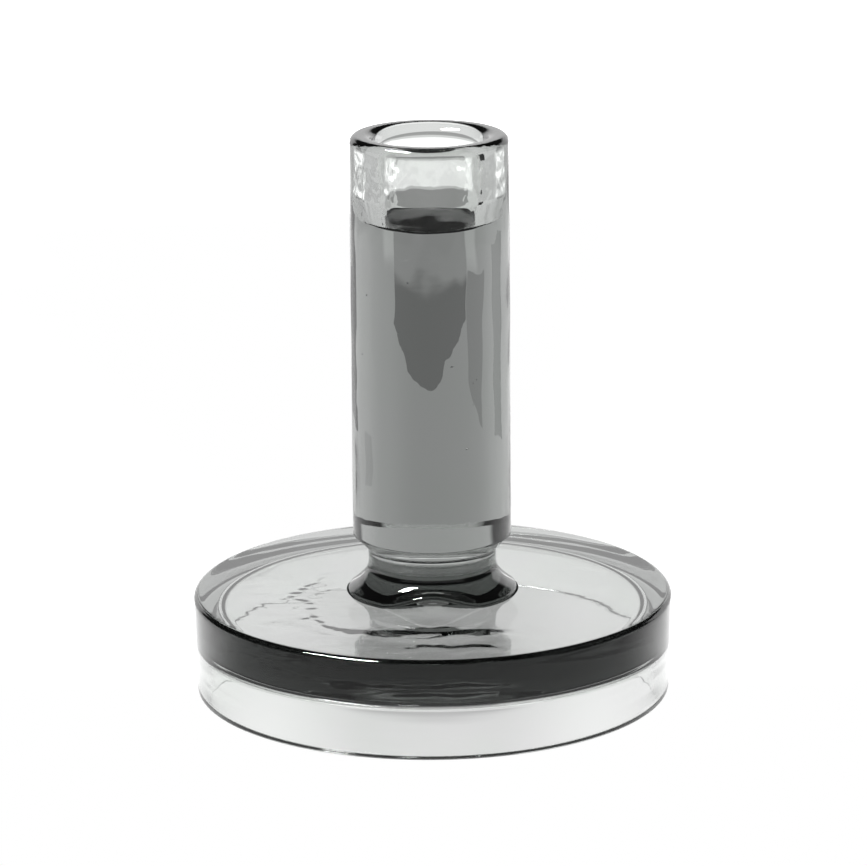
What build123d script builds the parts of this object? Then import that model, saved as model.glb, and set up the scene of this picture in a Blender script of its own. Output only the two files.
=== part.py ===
from build123d import *
import os

# A free-standing glass candlestick: a foot, a collar and a stem, fused end to end on one upright axis.
# Millimetres. +Z is up and the origin is the centre of the ring that the foot rests on.

# Foot: a thick disc with a skirt round it, hollow underneath.
FOOT_HEIGHT = 22.1
FOOT_TOP_RADIUS = 52.5
FOOT_BOTTOM_RADIUS = 52.0
FOOT_TOP_ROUND = 1.2
RIM_ROUND = 0.8
RECESS_HEIGHT = 11.4
RECESS_TOP_RADIUS = 47.2
RECESS_MOUTH_RADIUS = 48.0
RECESS_ROUND = 2.2

# Collar: a waisted bit of glass that flares up to the stem and out on to the disc.
SEAM_HEIGHT = 35.0
COLLAR_TOP_RADIUS = 17.3
COLLAR_TOP_TAPER = 3.3
COLLAR_TOP_ROUND = 3.0
WAIST_RADIUS = 14.0
FLARE_RADIUS = 18.5
FLARE_LIP = 0.7
FLARE_LIP_ROUND = 1.0
FLARE_MIDDLE_RADIUS = 16.2
FLARE_MIDDLE_RISE = 2.4
FLARE_MIDDLE_ROUND = 12.0
FLARE_RISE = 5.2
FLARE_ROUND = 4.5

# Stem: a solid column, cut flat at its lower end, with a rounded lip.
TOTAL_HEIGHT = 123.7
STEM_LOWER_RADIUS = 17.3
STEM_UPPER_RADIUS = 17.2
LIP_OUTER_ROUND = 1.6
LIP_INNER_ROUND = 3.2

# Candle socket: a straight mouth for a 22 mm candle, then a slow taper that grips its end.
SOCKET_RADIUS = 11.1
SOCKET_FLOOR_RADIUS = 10.1
SOCKET_DEPTH = 19.4
SOCKET_STRAIGHT_DEPTH = 13.6
SOCKET_FLOOR_ROUND = 1.4


def turned(outline, rounds):
    """Spin an outline of (radius, height) corners about the axis, with some corners rounded."""
    profile = make_face(Polyline(*outline, close=True))
    for corner, radius in rounds.items():
        vertex = profile.vertices().sort_by_distance(Vector(*corner))[0]
        profile = fillet(vertex, radius)
    return revolve(Plane.XZ * profile, Axis.Z)


def make_foot():
    top_edge = (FOOT_TOP_RADIUS, FOOT_HEIGHT)
    outer_rim = (FOOT_BOTTOM_RADIUS, 0)
    inner_rim = (RECESS_MOUTH_RADIUS, 0)
    recess_corner = (RECESS_TOP_RADIUS, RECESS_HEIGHT)
    outline = [(0, FOOT_HEIGHT), top_edge, outer_rim, inner_rim, recess_corner, (0, RECESS_HEIGHT)]
    rounds = {
        top_edge: FOOT_TOP_ROUND,
        outer_rim: RIM_ROUND,
        inner_rim: RIM_ROUND,
        recess_corner: RECESS_ROUND,
    }
    return turned(outline, rounds)


def make_collar():
    taper_foot = (WAIST_RADIUS, SEAM_HEIGHT - COLLAR_TOP_TAPER)
    flare_top = (WAIST_RADIUS, FOOT_HEIGHT + FLARE_RISE)
    flare_middle = (FLARE_MIDDLE_RADIUS, FOOT_HEIGHT + FLARE_MIDDLE_RISE)
    flare_edge = (FLARE_RADIUS, FOOT_HEIGHT + FLARE_LIP)
    outline = [
        (0, FOOT_HEIGHT),
        (FLARE_RADIUS, FOOT_HEIGHT),
        flare_edge,
        flare_middle,
        flare_top,
        taper_foot,
        (COLLAR_TOP_RADIUS, SEAM_HEIGHT),
        (0, SEAM_HEIGHT),
    ]
    rounds = {
        flare_edge: FLARE_LIP_ROUND,
        flare_middle: FLARE_MIDDLE_ROUND,
        flare_top: FLARE_ROUND,
        taper_foot: COLLAR_TOP_ROUND,
    }
    return turned(outline, rounds)


def make_stem():
    lip_outer = (STEM_UPPER_RADIUS, TOTAL_HEIGHT)
    lip_inner = (SOCKET_RADIUS, TOTAL_HEIGHT)
    floor_corner = (SOCKET_FLOOR_RADIUS, TOTAL_HEIGHT - SOCKET_DEPTH)
    outline = [
        (0, SEAM_HEIGHT),
        (STEM_LOWER_RADIUS, SEAM_HEIGHT),
        lip_outer,
        lip_inner,
        (SOCKET_RADIUS, TOTAL_HEIGHT - SOCKET_STRAIGHT_DEPTH),
        floor_corner,
        (0, TOTAL_HEIGHT - SOCKET_DEPTH),
    ]
    rounds = {
        lip_outer: LIP_OUTER_ROUND,
        lip_inner: LIP_INNER_ROUND,
        floor_corner: SOCKET_FLOOR_ROUND,
    }
    return turned(outline, rounds)


os.makedirs("parts", exist_ok=True)
export_step(make_foot(), "parts/foot.step")
export_step(make_collar(), "parts/collar.step")
export_step(make_stem(), "parts/stem.step")
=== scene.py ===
import math
import random

import bmesh
import bpy
from mathutils import Matrix, Vector, noise


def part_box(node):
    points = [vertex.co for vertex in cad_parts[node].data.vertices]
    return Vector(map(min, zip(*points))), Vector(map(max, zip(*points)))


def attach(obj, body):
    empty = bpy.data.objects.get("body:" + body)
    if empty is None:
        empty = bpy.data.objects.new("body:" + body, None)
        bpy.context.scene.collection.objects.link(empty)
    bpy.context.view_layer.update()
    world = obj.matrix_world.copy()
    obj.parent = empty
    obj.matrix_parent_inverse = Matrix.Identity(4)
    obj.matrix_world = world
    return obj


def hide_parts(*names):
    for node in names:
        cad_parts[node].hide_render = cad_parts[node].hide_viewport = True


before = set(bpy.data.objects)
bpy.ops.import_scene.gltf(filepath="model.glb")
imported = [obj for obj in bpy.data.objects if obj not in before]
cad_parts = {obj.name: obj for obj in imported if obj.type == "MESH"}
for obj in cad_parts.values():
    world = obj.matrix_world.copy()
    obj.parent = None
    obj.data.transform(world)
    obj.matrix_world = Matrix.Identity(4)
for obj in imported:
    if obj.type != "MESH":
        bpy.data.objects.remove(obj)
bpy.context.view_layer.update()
MM = 0.001

# Heights and radii that the frame gives, in metres.
foot_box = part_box("foot")
collar_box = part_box("collar")
stem_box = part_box("stem")
FOOT_TOP = foot_box[1].z
SEAM = stem_box[0].z
TOP = stem_box[1].z
FOOT_RADIUS = foot_box[1].x
FLARE_RADIUS = collar_box[1].x
STEM_RADIUS = stem_box[1].x

# The shape inside those boxes, in metres.
FOOT_TOP_ROUND = 1.2 * MM
RIM_ROUND = 0.8 * MM
RIM_RADIUS = 52.0 * MM
RECESS_HEIGHT = 11.4 * MM
RECESS_TOP_RADIUS = 47.2 * MM
RECESS_MOUTH_RADIUS = 48.0 * MM
RECESS_ROUND = 2.2 * MM
WAIST_RADIUS = 14.0 * MM
COLLAR_TOP_RADIUS = 17.3 * MM
COLLAR_TOP_TAPER = 3.3 * MM
COLLAR_TOP_ROUND = 3.0 * MM
FLARE_LIP = 0.7 * MM
FLARE_LIP_ROUND = 1.0 * MM
FLARE_MIDDLE_RADIUS = 16.2 * MM
FLARE_MIDDLE_RISE = 2.4 * MM
FLARE_MIDDLE_ROUND = 12.0 * MM
FLARE_RISE = 5.2 * MM
FLARE_ROUND = 4.5 * MM
STEM_UPPER_RADIUS = 17.2 * MM
LIP_OUTER_ROUND = 1.6 * MM
LIP_INNER_ROUND = 3.2 * MM
SOCKET_RADIUS = 11.1 * MM
SOCKET_FLOOR_RADIUS = 10.1 * MM
SOCKET_DEPTH = 19.4 * MM
SOCKET_STRAIGHT_DEPTH = 13.6 * MM
SOCKET_FLOOR_ROUND = 1.4 * MM
SOCKET_FLOOR_SLOPE = 0.055

# How finely the pieces are divided, the bend that counts as a sharp edge, and how two pieces are fused:
# a gap too thin to see, and the soft edge of each joint.
SEGMENTS = 320
FOOT_STEP = 0.7 * MM
UPPER_STEP = 0.5 * MM
SHARP_ANGLE = math.radians(28)
JOINT_GAP = 0.01 * MM
JOINT_BLEND = 0.3 * MM

# The stem and the collar are bonded only round their edge: a film of air lies between them inside it.
FILM_RADIUS = 14.4 * MM
FILM_OFFSET = 2.2 * MM

# The collar's rim stands a little off the disc at the front.
RIM_LIFT = 2.7 * MM
RIM_LIFT_REACH = 5.0 * MM
RIM_LIFT_HALF_ANGLE = math.radians(38)

# The marks under the disc: a wandering ring at the left and two ridges across the front. Each ridge has
# its place to the right and to the back, its half length and its half width.
RING_RADIUS = 29 * MM
RING_HEIGHT = 0.16 * MM
RIDGE_HEIGHT = 0.30 * MM
FAR_RIDGE = (-3 * MM, -26 * MM, 17 * MM, 4.2 * MM)
NEAR_RIDGE = (3 * MM, -35.5 * MM, 13 * MM, 3.0 * MM)

# Bubbles in the stem, kept clear of its ends.
BUBBLES = 12
BUBBLE_MARGIN = 8 * MM

# Noise on a level face is stretched so far along the axis, in metres, that height makes no difference.
LEVEL = 1

# The refractive indices of glass and of a face inside a fused joint, which bends nothing.
GLASS_INDEX = 1.5
FUSED_INDEX = 1.0

# The look of the glass: the colour that its depth lets through and how soon it darkens, the faint tint,
# the worn polish and the fine ripple. A larger scale makes a finer grain.
DEPTH_COLOUR = (0.0, 0.02, 0.01, 1)
DEPTH_DENSITY = 42.0
TINT = (0.975, 0.995, 0.975, 1)
TINT_SCALE = 60.0
WEAR_SCALE = 700.0
WORN_ROUGHNESS = 0.015
RIPPLE_SCALE = 260.0
RIPPLE_HEIGHT = 0.006 * MM

# The studio's floor and cards, in metres, and the strength of the light in the room. The floor's painted
# light and shade, which only the glass sees, changes over FOOT_EDGE, out from the axis, from the painted
# shadow under the foot to that of the open floor, and over FRONT_TURN, in radians from straight behind,
# towards the front.
FLOOR_REACH = 6.0
FLOOR_DROP = 0.1 * MM
CARD_HEIGHT = 0.5 * MM
FOOT_EDGE = (0.048, 0.058)
FRONT_TURN = (1.3, 1.9)
BACKDROP_LEVEL = 1.2
FRONT_LEVEL = 0.36
ROOM_LEVEL = 0.04

# The soft box, high up at the left.
KEY_PLACE = (-0.464, -0.187, 0.87)
KEY_AIM = (0, 0, 0.03)
KEY_SIZE = (0.52, 0.2)
KEY_WATTS = 32

# The camera: what it looks at, and from where. Its roll makes up for half of the real column's lean,
# which the upright model doesn't have.
CAMERA_TARGET = Vector((0.47 * MM, 0, 57.3 * MM))
CAMERA_ELEVATION = math.radians(15.26)
CAMERA_DISTANCE = 0.990
CAMERA_LENS = 188.6
CAMERA_ROLL = math.radians(-0.45)


def arc_corner(before, corner, after, radius, pieces=10):
    """Points of the arc that rounds one corner of an outline."""
    a = (before - corner).normalized()
    b = (after - corner).normalized()
    half = a.angle(b) / 2
    centre = corner + (a + b).normalized() * radius / math.sin(half)
    start = corner + a * radius / math.tan(half) - centre
    end = corner + b * radius / math.tan(half) - centre
    turn = start.angle(end)
    points = []
    for i in range(pieces + 1):
        t = i / pieces
        share = math.sin((1 - t) * turn) * start + math.sin(t * turn) * end
        points.append(centre + share / math.sin(turn))
    return points


def outline(corners, step):
    """An outline of (radius, height, round) corners as evenly divided points with their arcs."""
    flat = [Vector((r, z)) for r, z, _ in corners]
    marks = [flat[0]]
    for i in range(1, len(corners) - 1):
        radius = corners[i][2]
        if radius:
            marks += arc_corner(flat[i - 1], flat[i], flat[i + 1], radius)
        else:
            marks.append(flat[i])
    marks.append(flat[-1])
    points = [marks[0]]
    for a, b in zip(marks, marks[1:]):
        count = max(1, round((b - a).length / step))
        points += [a.lerp(b, (i + 1) / count) for i in range(count)]
    return points


def turned(name, corners, step, warp, fused):
    """A closed solid of glass, spun from an outline that starts and ends on the axis, then warped.

    The function fused gives 1 where a point of a level face lies inside a fused joint, and 0 elsewhere.
    """
    points = outline(corners, step)
    places = [Vector((0, 0, points[0].y))]
    for p in points[1:-1]:
        for s in range(SEGMENTS):
            angle = 2 * math.pi * s / SEGMENTS
            places.append(Vector((p.x * math.cos(angle), p.x * math.sin(angle), p.y)))
    places.append(Vector((0, 0, points[-1].y)))
    rings = len(points) - 2
    faces = []
    for s in range(SEGMENTS):
        n = (s + 1) % SEGMENTS
        faces.append((0, 1 + s, 1 + n))
        for k in range(rings - 1):
            a = 1 + k * SEGMENTS
            b = a + SEGMENTS
            faces.append((a + s, b + s, b + n, a + n))
        a = 1 + (rings - 1) * SEGMENTS
        faces.append((a + s, len(places) - 1, a + n))
    mesh = bpy.data.meshes.new(name)
    mesh.from_pydata([warp(p) for p in places], [], faces)
    mesh.shade_smooth()
    mesh.set_sharp_from_angle(angle=SHARP_ANGLE)
    inside = []
    for face in faces:
        heights = [places[v].z for v in face]
        level = max(heights) - min(heights) < 1e-7
        inside += [fused(places[v]) if level else 0.0 for v in face]
    mark = mesh.attributes.new("fused", "FLOAT", "CORNER")
    mark.data.foreach_set("value", inside)
    piece = bpy.data.objects.new(name, mesh)
    bpy.context.scene.collection.objects.link(piece)
    return piece


def ramp(value, low, high):
    """0 below low, 1 above high, smooth between."""
    t = min(1.0, max(0.0, (value - low) / (high - low)))
    return t * t * (3 - 2 * t)


def waves(p, across, along, seed):
    """Smooth noise from -1 to 1, with its own size across the axis and along it."""
    return noise.noise(Vector((p.x / across + seed, p.y / across, p.z / along)))


def creases(p, across, along, seed):
    """Noise from 0 to 1 with sharp creases, as where chilled glass has wrinkled."""
    place = Vector((p.x / across + seed, p.y / across, p.z / along))
    return noise.turbulence(place, 3, True, amplitude_scale=0.6, frequency_scale=2.1)


def pushed(p, outward, up=0.0):
    """The point moved away from the axis and up."""
    radius = math.hypot(p.x, p.y)
    if radius < 1e-9:
        return Vector((p.x, p.y, p.z + up))
    grow = (radius + outward) / radius
    return Vector((p.x * grow, p.y * grow, p.z + up))


def front_share(p):
    """1 straight in front of the axis, falling smoothly to 0 where the collar's rim lies on the disc."""
    return 1 - ramp(abs(math.atan2(p.x, -p.y)), 0, RIM_LIFT_HALF_ANGLE)


def foot_joint(p):
    """Where the disc's top is fused to the collar."""
    if abs(p.z - FOOT_TOP) > 2 * JOINT_GAP:
        return 0.0
    edge = FLARE_RADIUS - RIM_LIFT_REACH * front_share(p)
    return 1 - ramp(math.hypot(p.x, p.y) - edge, 0, JOINT_BLEND)


def film_joint(p):
    """Where the stem's end is fused to the collar, outside the film of air."""
    if abs(p.z - SEAM) > 2 * JOINT_GAP:
        return 0.0
    return ramp(math.hypot(p.x, p.y + FILM_OFFSET) - FILM_RADIUS, -JOINT_BLEND, JOINT_BLEND)


def collar_joint(p):
    """Both joints of the collar, which lie at its two ends."""
    return foot_joint(p) + film_joint(p)


def ridge(p, x, y, half_long, half_wide):
    """A long low ridge that lies across the front of the disc, from 0 to 1."""
    along = (p.x - x) / half_long
    across = (p.y - y) / half_wide
    return math.exp(-(along**4) - across * across)


def under_disc(p):
    """The marks and soft waves of the hollow's ceiling, strongest at the left and the front."""
    radius = math.hypot(p.x, p.y)
    inner = ramp(RECESS_TOP_RADIUS - radius, 1.0 * MM, 6.0 * MM)
    side = ramp((-0.75 * p.x - 0.66 * p.y) / radius, 0.0, 0.6) if radius > 1 * MM else 0
    wobble = 3.5 * MM * waves(p, 9 * MM, LEVEL, 1.9) + 1.8 * MM * waves(p, 2.2 * MM, LEVEL, 7.3)
    off_ring = abs(radius - RING_RADIUS - wobble)
    ring = RING_HEIGHT * side * (1 - ramp(off_ring, 0.2 * MM, 2.2 * MM))
    drift = 1.6 * MM * waves(p, 5 * MM, LEVEL, 2.6) + 0.6 * MM * waves(p, 1.5 * MM, LEVEL, 8.1)
    drifted = Vector((p.x, p.y + drift, 0))
    ridges = 1.4 * ridge(drifted, *FAR_RIDGE) + ridge(drifted, *NEAR_RIDGE)
    soft = (0.05 + 0.10 * side) * MM * waves(p, 15 * MM, LEVEL, 3.1)
    soft += 0.02 * side * MM * waves(p, 6 * MM, LEVEL, 6.6)
    fine = 0.05 * MM * side * creases(p, 12 * MM, LEVEL, 5.7)
    return pushed(p, 0, inner * (soft + ring + fine + RIDGE_HEIGHT * ridges))


def skirt_inside(p):
    """The moulded waves of the skirt's inner wall."""
    inner = ramp(p.z, 0.5 * MM, 3 * MM) * ramp(RECESS_HEIGHT - p.z, 0.5 * MM, 3 * MM)
    slow = 0.05 * MM * waves(p, 14 * MM, 5 * MM, 8.2)
    drawn = 0.05 * MM * waves(p, 24 * MM, 1.5 * MM, 4.9)
    return pushed(p, inner * (slow + drawn))


def foot_outside(p):
    """The soft waves of the foot's outer wall."""
    inner = ramp(p.z, RIM_ROUND, 4 * MM) * ramp(FOOT_TOP - p.z, FOOT_TOP_ROUND, 4 * MM)
    return pushed(p, inner * (0.04 * MM * waves(p, 16 * MM, 5 * MM, 7.7) - 0.02 * MM))


def foot_surface(p):
    """The foot's marks and waves, on each of its three uneven faces."""
    radius = math.hypot(p.x, p.y)
    if abs(p.z - RECESS_HEIGHT) < 0.3 * MM and radius < RECESS_TOP_RADIUS:
        return under_disc(p)
    if radius < RECESS_MOUTH_RADIUS + 0.2 * MM and p.z < RECESS_HEIGHT:
        return skirt_inside(p)
    if radius > RIM_RADIUS - 0.2 * MM and p.z > RIM_ROUND:
        return foot_outside(p)
    return p


def collar_surface(p):
    """The rim that stands off the disc at the front."""
    reach = ramp(math.hypot(p.x, p.y), FLARE_RADIUS - RIM_LIFT_REACH, FLARE_RADIUS)
    low = 1 - ramp(p.z - FOOT_TOP, 1.5 * MM, 6.0 * MM)
    return pushed(p, 0, RIM_LIFT * front_share(p) * reach * low)


def socket_wall(p):
    """The crinkles that the mould left in the socket, strongest at the left."""
    inner = ramp(TOP - p.z, 3.0 * MM, 5.0 * MM)
    side = 0.22 + 0.78 * ramp(-p.x, 4 * MM, 9 * MM) + 0.30 * ramp(p.x, 4 * MM, 9 * MM)
    crinkle = 0.13 * MM * side * creases(p, 3.2 * MM, 4.5 * MM, 1.3)
    slow = 0.06 * MM * waves(p, 8 * MM, 14 * MM, 4.4)
    return pushed(p, inner * (crinkle + slow - 0.05 * MM))


def socket_floor(p):
    """The uneven floor of the socket, which rises a little towards the back."""
    low = 1 - ramp(p.z - TOP + SOCKET_DEPTH, 0, SOCKET_FLOOR_ROUND)
    behind = p.y + SOCKET_FLOOR_RADIUS - 3.0 * MM * ramp(p.y, 0, SOCKET_FLOOR_RADIUS)
    uneven = 0.10 * MM * waves(p, 6 * MM, LEVEL, 2.2)
    return pushed(p, 0, low * (SOCKET_FLOOR_SLOPE * behind + uneven))


def stem_outside(p):
    """The long waves of the column's outer wall, as it was drawn."""
    middle = ramp(TOP - p.z, 3 * MM, 12 * MM) * ramp(p.z - SEAM, 1 * MM, 8 * MM)
    slow = 0.06 * MM * waves(p, 9 * MM, 30 * MM, 6.0)
    medium = 0.06 * MM * waves(p, 3.2 * MM, 9 * MM, 2.7)
    fine = 0.014 * MM * waves(p, 1.4 * MM, 12 * MM, 9.5)
    return pushed(p, middle * (slow + medium + fine))


def stem_surface(p):
    """The stem's waves and crinkles, on each of its three uneven faces."""
    radius = math.hypot(p.x, p.y)
    depth = TOP - p.z
    floor_edge = SOCKET_DEPTH - SOCKET_FLOOR_ROUND
    if radius < SOCKET_RADIUS + 0.1 * MM and 3.0 * MM < depth < floor_edge:
        return socket_wall(p)
    if radius < SOCKET_FLOOR_RADIUS and floor_edge < depth < SOCKET_DEPTH + 0.1 * MM:
        return socket_floor(p)
    if radius > SOCKET_RADIUS + 4 * MM and depth > LIP_OUTER_ROUND:
        return stem_outside(p)
    return p


def make_foot():
    """The pressed foot: a disc with a skirt round it, hollow underneath."""
    corners = [
        (0, FOOT_TOP, 0),
        (FLARE_RADIUS, FOOT_TOP, 0),
        (FOOT_RADIUS, FOOT_TOP, FOOT_TOP_ROUND),
        (RIM_RADIUS, 0, RIM_ROUND),
        (RECESS_MOUTH_RADIUS, 0, RIM_ROUND),
        (RECESS_TOP_RADIUS, RECESS_HEIGHT, RECESS_ROUND),
        (0, RECESS_HEIGHT, 0),
    ]
    return turned("foot_glass", corners, FOOT_STEP, foot_surface, foot_joint)


def make_collar():
    """The waisted collar, with its flare on the disc and its wide top under the stem."""
    low = FOOT_TOP + JOINT_GAP
    high = SEAM - JOINT_GAP
    corners = [
        (0, high, 0),
        (COLLAR_TOP_RADIUS, high, 0),
        (WAIST_RADIUS, SEAM - COLLAR_TOP_TAPER, COLLAR_TOP_ROUND),
        (WAIST_RADIUS, FOOT_TOP + FLARE_RISE, FLARE_ROUND),
        (FLARE_MIDDLE_RADIUS, FOOT_TOP + FLARE_MIDDLE_RISE, FLARE_MIDDLE_ROUND),
        (FLARE_RADIUS, FOOT_TOP + FLARE_LIP, FLARE_LIP_ROUND),
        (FLARE_RADIUS, low, 0),
        (0, low, 0),
    ]
    return turned("collar_glass", corners, UPPER_STEP, collar_surface, collar_joint)


def make_stem():
    """The solid column with the candle socket in its top, and its bubbles."""
    corners = [
        (0, TOP - SOCKET_DEPTH, 0),
        (SOCKET_FLOOR_RADIUS, TOP - SOCKET_DEPTH, SOCKET_FLOOR_ROUND),
        (SOCKET_RADIUS, TOP - SOCKET_STRAIGHT_DEPTH, 0),
        (SOCKET_RADIUS, TOP, LIP_INNER_ROUND),
        (STEM_UPPER_RADIUS, TOP, LIP_OUTER_ROUND),
        (STEM_RADIUS, SEAM, 0),
        (0, SEAM, 0),
    ]
    stem = turned("stem_glass", corners, UPPER_STEP, stem_surface, film_joint)
    add_bubbles(stem, BUBBLES)
    return stem


def add_bubbles(piece, count):
    """Tiny bubbles in the stem's solid part. Their faces look inwards, so the glass stays closed."""
    chance = random.Random(4)
    mesh = bmesh.new()
    mesh.from_mesh(piece.data)
    for _ in range(count):
        reach = 0.8 * STEM_UPPER_RADIUS * math.sqrt(chance.random())
        angle = chance.uniform(0, 2 * math.pi)
        height = chance.uniform(SEAM + BUBBLE_MARGIN, TOP - SOCKET_DEPTH - BUBBLE_MARGIN)
        place = Matrix.Translation((reach * math.cos(angle), reach * math.sin(angle), height))
        size = chance.uniform(0.10, 0.22) * MM
        made = bmesh.ops.create_icosphere(mesh, subdivisions=2, radius=size, matrix=place)
        faces = list({face for vertex in made["verts"] for face in vertex.link_faces})
        for face in faces:
            face.smooth = True
        bmesh.ops.reverse_faces(mesh, faces=faces)
    mesh.to_mesh(piece.data)
    mesh.free()


def fill(tree, socket, value):
    """Link a node's output to the socket, or set the socket to a number or a colour."""
    if isinstance(value, bpy.types.NodeSocket):
        tree.links.new(value, socket)
    else:
        socket.default_value = value


def node(tree, kind, **inputs):
    """A shader node with its inputs set or linked."""
    made = tree.nodes.new(kind)
    for name, value in inputs.items():
        fill(tree, made.inputs[name], value)
    return made


def scaled(tree, value, low, high, at_low, at_high):
    """A value mapped smoothly from one range to another, and held at its ends."""
    made = tree.nodes.new("ShaderNodeMapRange")
    made.interpolation_type = "SMOOTHSTEP"
    tree.links.new(value, made.inputs["Value"])
    made.inputs["From Min"].default_value = low
    made.inputs["From Max"].default_value = high
    made.inputs["To Min"].default_value = at_low
    made.inputs["To Max"].default_value = at_high
    return made.outputs["Result"]


def maths(tree, operation, *values):
    """One operation on one, two or three numbers or node outputs."""
    made = tree.nodes.new("ShaderNodeMath")
    made.operation = operation
    for socket, value in zip(made.inputs, values):
        fill(tree, socket, value)
    return made.outputs[0]


def chain(tree, operation, *values):
    """The same operation all along a row of numbers or node outputs."""
    result = values[0]
    for value in values[1:]:
        result = maths(tree, operation, result, value)
    return result


def bare_material(name):
    """A material that has no nodes yet."""
    mat = bpy.data.materials.new(name)
    mat.use_nodes = True
    mat.node_tree.nodes.clear()
    return mat


def shine(tree, strength):
    """Let the surface shine white by itself, with this strength."""
    glow = node(tree, "ShaderNodeEmission", Strength=strength)
    node(tree, "ShaderNodeOutputMaterial", Surface=glow.outputs[0])


def white_to_camera(tree, seen):
    """The strength that the glass sees, raised to plain white where the camera looks at it directly."""
    path = tree.nodes.new("ShaderNodeLightPath")
    return maths(tree, "MAXIMUM", seen, path.outputs["Is Camera Ray"])


def smoke_glass(name):
    """Clear grey glass: the colour is in its depth, so thick parts are darker than thin ones."""
    mat = bare_material(name)
    tree = mat.node_tree
    place = tree.nodes.new("ShaderNodeTexCoord").outputs["Object"]

    cloud = node(tree, "ShaderNodeTexNoise", Vector=place, Scale=TINT_SCALE, Detail=2.0)
    tint = tree.nodes.new("ShaderNodeValToRGB")
    tinted, clear = tint.color_ramp.elements
    tinted.position = 0.35
    tinted.color = TINT
    clear.position = 0.65
    clear.color = (1, 1, 1, 1)
    tree.links.new(cloud.outputs["Fac"], tint.inputs["Fac"])

    wear = node(tree, "ShaderNodeTexNoise", Vector=place, Scale=WEAR_SCALE, Detail=3.0)
    haze = scaled(tree, wear.outputs["Fac"], 0.60, 0.75, 0.0, WORN_ROUGHNESS)
    swell = node(tree, "ShaderNodeTexNoise", Vector=place, Scale=RIPPLE_SCALE, Detail=2.0)
    ripple = node(tree, "ShaderNodeBump", Height=swell.outputs["Fac"], Strength=1.0, Distance=RIPPLE_HEIGHT)
    fused = tree.nodes.new("ShaderNodeAttribute")
    fused.attribute_name = "fused"
    index = scaled(tree, fused.outputs["Fac"], 0.45, 0.55, GLASS_INDEX, FUSED_INDEX)

    glass = node(tree, "ShaderNodeBsdfPrincipled", Roughness=haze, IOR=index)
    glass.inputs["Transmission Weight"].default_value = 1.0
    tree.links.new(tint.outputs["Color"], glass.inputs["Base Color"])
    tree.links.new(ripple.outputs["Normal"], glass.inputs["Normal"])
    depth = node(tree, "ShaderNodeVolumeAbsorption", Color=DEPTH_COLOUR, Density=DEPTH_DENSITY)
    node(tree, "ShaderNodeOutputMaterial", Surface=glass.outputs[0], Volume=depth.outputs[0])
    return mat


def flat_piece(name, corners, height):
    """A level sheet of the studio, with its corners in metres."""
    mesh = bpy.data.meshes.new(name)
    mesh.from_pydata([(x, y, height) for x, y in corners], [], [tuple(range(len(corners)))])
    piece = bpy.data.objects.new(name, mesh)
    bpy.context.scene.collection.objects.link(piece)
    return piece


def open_floor(tree, radius, turn):
    """The floor's strength round the foot: 1, and what each zone of painted light and shade adds to it or
    takes from it.

    Every zone fades in over a stretch of radius, in metres from the axis, or of turn, in radians from
    straight behind.
    """
    aside = maths(tree, "ABSOLUTE", turn)

    # Painted shade, much dimmer in front, and painted light, a little brighter to the right and the left.
    front = scaled(tree, aside, *FRONT_TURN, 0.0, -0.62)
    right = scaled(tree, turn, 0.10, 0.40, 0.0, 0.10)
    left = scaled(tree, turn, -0.60, -0.30, 0.08, 0.0)

    # Two brighter strips of painted light far back, on both sides of the middle.
    flank_start = scaled(tree, aside, 0.27, 0.31, 0.0, 0.35)
    flank_end = scaled(tree, aside, 0.38, 0.44, 1.0, 0.0)
    flank_reach = scaled(tree, radius, 0.40, 0.44, 0.0, 1.0)
    flank = chain(tree, "MULTIPLY", flank_start, flank_end, flank_reach)

    # Painted light, brighter close round the foot, and less so in front.
    near_reach = scaled(tree, radius, 0.085, 0.110, 1.0, 0.0)
    near = chain(tree, "MULTIPLY", near_reach, scaled(tree, aside, *FRONT_TURN, 0.35, 0.12))

    # Straight behind, painted light, brighter in three steps.
    middle = scaled(tree, aside, 0.29, 0.42, 1.0, 0.06)
    back = scaled(tree, radius, 0.472, 0.495, 0.0, 0.42)
    horizon = scaled(tree, radius, 0.525, 0.545, 0.0, 0.12)
    beyond = scaled(tree, radius, 0.565, 0.590, 0.0, 0.9)
    far = chain(tree, "MULTIPLY", chain(tree, "ADD", back, horizon, beyond), middle)

    # Painted shade, dimmer far out, except straight behind.
    sides_reach = scaled(tree, radius, 0.455, 0.485, 0.0, -0.24)
    sides = chain(tree, "MULTIPLY", sides_reach, scaled(tree, aside, 0.42, 0.50, 0.0, 1.0))
    return chain(tree, "ADD", 1.0, front, right, left, flank, near, far, sides)


def covered_floor(tree, radius, across):
    """The floor's strength under the foot: painted shadow, dimmer under the column, and painted light,
    brighter out to both sides.
    """
    # Painted shadow of the column on the floor under the foot.
    painted_shadow_under_column = scaled(tree, radius, 0.012, 0.024, 0.7, 1.0)
    aside = maths(tree, "ABSOLUTE", across)
    out_to_sides = scaled(tree, aside, 0.012, 0.038, 0.88, 1.12)
    return chain(tree, "MULTIPLY", painted_shadow_under_column, out_to_sides)


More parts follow.
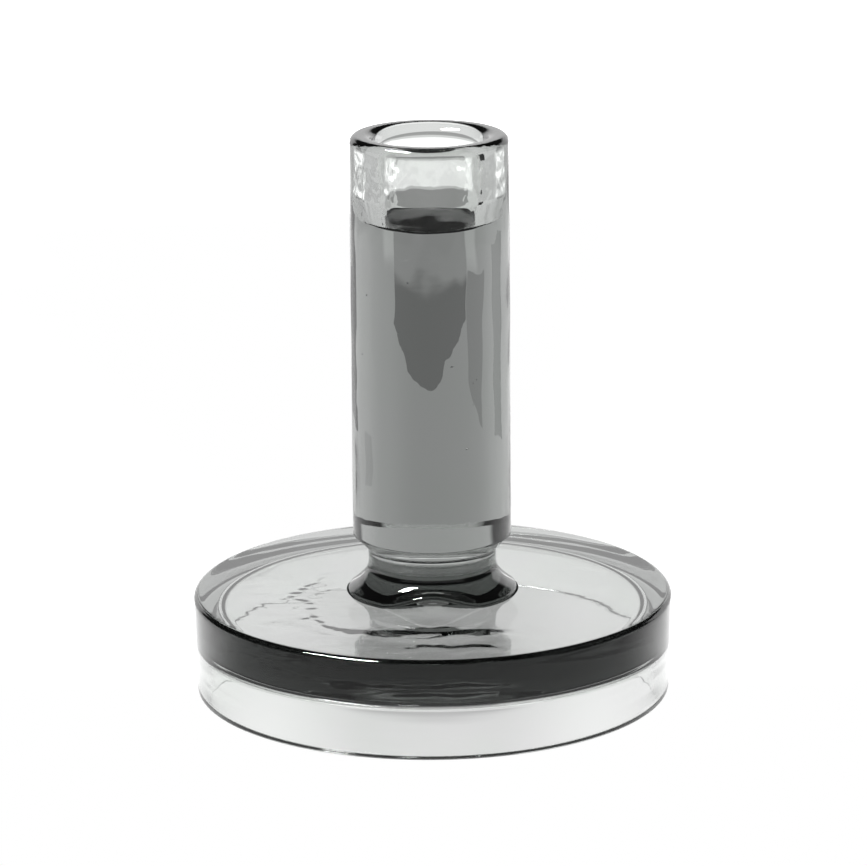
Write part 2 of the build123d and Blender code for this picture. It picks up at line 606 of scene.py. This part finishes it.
def make_floor():
    """A table that shines white: plain to the camera, and uneven with painted light and shade as the glass
    sees it.
    """
    reach = FLOOR_REACH
    corners = [(-reach, -reach), (reach, -reach), (reach, reach), (-reach, reach)]
    floor = flat_piece("floor", corners, -FLOOR_DROP)
    mat = bare_material("floor_white")
    tree = mat.node_tree
    place = tree.nodes.new("ShaderNodeNewGeometry").outputs["Position"]
    split = node(tree, "ShaderNodeSeparateXYZ", Vector=place)
    length = tree.nodes.new("ShaderNodeVectorMath")
    length.operation = "LENGTH"
    tree.links.new(place, length.inputs[0])
    radius = length.outputs["Value"]
    turn = maths(tree, "ARCTAN2", split.outputs["X"], split.outputs["Y"])
    # Over FOOT_EDGE the painted shadow under the foot gives way to the open floor's painted light and
    # shade.
    outside = scaled(tree, radius, *FOOT_EDGE, 0.0, 1.0)
    inside = maths(tree, "SUBTRACT", 1.0, outside)
    under = maths(tree, "MULTIPLY", inside, covered_floor(tree, radius, split.outputs["X"]))
    seen = maths(tree, "MULTIPLY_ADD", open_floor(tree, radius, turn), outside, under)
    shine(tree, white_to_camera(tree, seen))
    floor.data.materials.append(mat)


def grey_card(name, corners, level, fade=None):
    """A card lying on the table that only the glass sees, as a studio lays one to shape the glass. It takes
    no light but shines with a set strength, so it is painted shade for the glass to show.

    With fade = (near, far, end) it goes smoothly to the level end between those distances behind.
    """
    card = flat_piece(name, [(x * MM, y * MM) for x, y in corners], CARD_HEIGHT)
    card.visible_camera = False
    mat = bare_material(name)
    tree = mat.node_tree
    if fade:
        near, far, end = fade
        place = tree.nodes.new("ShaderNodeNewGeometry").outputs["Position"]
        split = node(tree, "ShaderNodeSeparateXYZ", Vector=place)
        level = scaled(tree, split.outputs["Y"], near * MM, far * MM, level, end)
    shine(tree, level)
    card.data.materials.append(mat)


def sector(from_degrees, to_degrees, near, far, pieces=8):
    """Corners of a piece of a ring round the candlestick, its angles counted from straight behind."""
    step = (to_degrees - from_degrees) / pieces
    turns = [math.radians(from_degrees + step * i) for i in range(pieces + 1)]
    inner = [(near * math.sin(t), near * math.cos(t)) for t in turns]
    outer = [(far * math.sin(t), far * math.cos(t)) for t in turns]
    return inner + outer[::-1]


def lay_cards():
    """The five cards behind the candlestick, in millimetres to the right and to the back.

    The tongue card is a painted shadow behind the candlestick: it gives the long grey tongue in the column,
    and the far card carries that painted shade on from its far edge.
    """
    # The outline of the painted shadow that the column shows as its grey tongue.
    tongue = [
        (10, 265), (26, 265), (54, 285), (91, 312), (103, 322), (127, 414),
        (-123, 414), (-116, 372), (-100, 321), (-81, 314), (-47, 294), (-20, 281),
    ]
    beyond_tongue = [(127, 414.5), (146, 477), (-142, 477), (-123, 414.5)]
    left = [(-82, 256), (-97, 195), (-200, 362), (-125, 394)]
    grey_card("tongue_shadow_card", tongue, 0.48, fade=(370, 394, 0.90))
    grey_card("far_card", beyond_tongue, 0.90, fade=(455, 477, 1.0))
    grey_card("right_card", sector(58, 80, 219, 470), 0.0)
    grey_card("left_card", left, 0.76)
    grey_card("oval_card", sector(35, 44, 156, 216), 0.92)


def softbox(name, place, aim, size, watts):
    """A rectangular lamp at a place, turned to face another."""
    lamp = bpy.data.lights.new(name, "AREA")
    lamp.shape = "RECTANGLE"
    lamp.size, lamp.size_y = size
    lamp.energy = watts
    light = bpy.data.objects.new(name, lamp)
    bpy.context.scene.collection.objects.link(light)
    light.location = place
    light.rotation_euler = (Vector(aim) - Vector(place)).to_track_quat("-Z", "Y").to_euler()


def make_world():
    """A bright backdrop low behind and beside the glass, and a dim room above and in front."""
    world = bpy.data.worlds.new("studio")
    bpy.context.scene.world = world
    world.use_nodes = True
    tree = world.node_tree
    tree.nodes.clear()
    coords = tree.nodes.new("ShaderNodeTexCoord")
    split = node(tree, "ShaderNodeSeparateXYZ", Vector=coords.outputs["Generated"])
    low = scaled(tree, split.outputs["Z"], 0.29, 0.40, 1.0, 0.0)
    turn = maths(tree, "ARCTAN2", split.outputs["X"], split.outputs["Y"])
    left_end = scaled(tree, turn, -0.72, -0.60, 0.0, 1.0)
    right_end = scaled(tree, turn, 0.90, 1.02, 1.0, 0.0)
    backdrop = chain(tree, "MULTIPLY", left_end, right_end, BACKDROP_LEVEL)
    front = scaled(tree, split.outputs["Y"], -0.60, -0.45, FRONT_LEVEL, 0.0)
    seen = maths(tree, "MULTIPLY_ADD", low, maths(tree, "ADD", backdrop, front), ROOM_LEVEL)
    strength = white_to_camera(tree, seen)
    back = node(tree, "ShaderNodeBackground", Color=(1, 1, 1, 1), Strength=strength)
    node(tree, "ShaderNodeOutputWorld", Surface=back.outputs[0])


def make_camera():
    """The camera in front of the candlestick, a little above it and a little rolled."""
    away = Vector((0, -math.cos(CAMERA_ELEVATION), math.sin(CAMERA_ELEVATION)))
    place = CAMERA_TARGET + CAMERA_DISTANCE * away
    lens = bpy.data.cameras.new("camera")
    lens.lens = CAMERA_LENS
    lens.sensor_width = 36
    lens.clip_start = 0.01
    camera = bpy.data.objects.new("camera", lens)
    bpy.context.scene.collection.objects.link(camera)
    look = (CAMERA_TARGET - place).to_track_quat("-Z", "Y").to_matrix().to_4x4()
    camera.matrix_world = Matrix.Translation(place) @ look @ Matrix.Rotation(CAMERA_ROLL, 4, "Z")
    bpy.context.scene.camera = camera


# Light passes many faces of glass before it reaches the eye.
scene = bpy.context.scene
scene.view_settings.view_transform = "Standard"
scene.cycles.max_bounces = 32
scene.cycles.transmission_bounces = 32
scene.cycles.glossy_bounces = 16

glass = smoke_glass("smoke_glass")
for make, cad_name in ((make_foot, "foot"), (make_collar, "collar"), (make_stem, "stem")):
    piece = make()
    piece.data.materials.append(glass)
    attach(piece, "root")
    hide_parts(cad_name)

make_floor()
lay_cards()
make_world()
softbox("key", KEY_PLACE, KEY_AIM, KEY_SIZE, KEY_WATTS)
make_camera()
